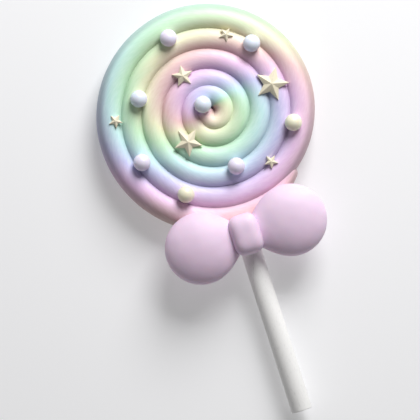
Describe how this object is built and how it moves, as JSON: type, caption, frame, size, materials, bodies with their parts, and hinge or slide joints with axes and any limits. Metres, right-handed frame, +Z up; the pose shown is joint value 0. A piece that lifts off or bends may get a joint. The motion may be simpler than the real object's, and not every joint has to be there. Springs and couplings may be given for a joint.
{
  "type": "swirl lollipop",
  "caption": "Flat spiral of pastel rainbow candy rope on a thick paper stick, with sugar pearls, sugar stars and a moulded sugar bow below the candy.",
  "frame": {"origin": "on the surface the lollipop lies on, under the middle of its bounding box", "axes": "+Z up, out of the decorated face; +Y from the stick's free end towards the candy, along the whole length; +X to the right, seen from above"},
  "size_m": [0.0996, 0.1906, 0.0255],
  "materials": {
    "candy": "pulled sugar candy, satin gloss, pastel rainbow bands",
    "paper": "rolled white paper, matt",
    "bow": "moulded sugar paste, soft satin, pastel pink-lilac",
    "lilac": "sugar pearl, pearly lilac",
    "ice": "sugar pearl, pearly ice blue",
    "cream": "sugar pearl, pearly cream",
    "star": "pressed sugar, satin cream"
  },
  "bodies": {
    "root": {"candy_swirl": "candy", "stick": "paper", "bow_loop_left": "bow", "bow_loop_right": "bow", "bow_knot": "bow", "pearl_lilac_upper": "lilac", "pearl_ice_upper": "ice", "pearl_ice_left": "ice", "pearl_ice_centre": "ice", "pearl_cream_right": "cream", "pearl_lilac_left": "lilac", "pearl_lilac_lower": "lilac", "pearl_cream_lower": "cream", "star_small_upper": "star", "star_middle": "star", "star_big_right": "star", "star_small_left": "star", "star_large_lower": "star", "star_small_lower": "star"}
  },
  "joints": []
}
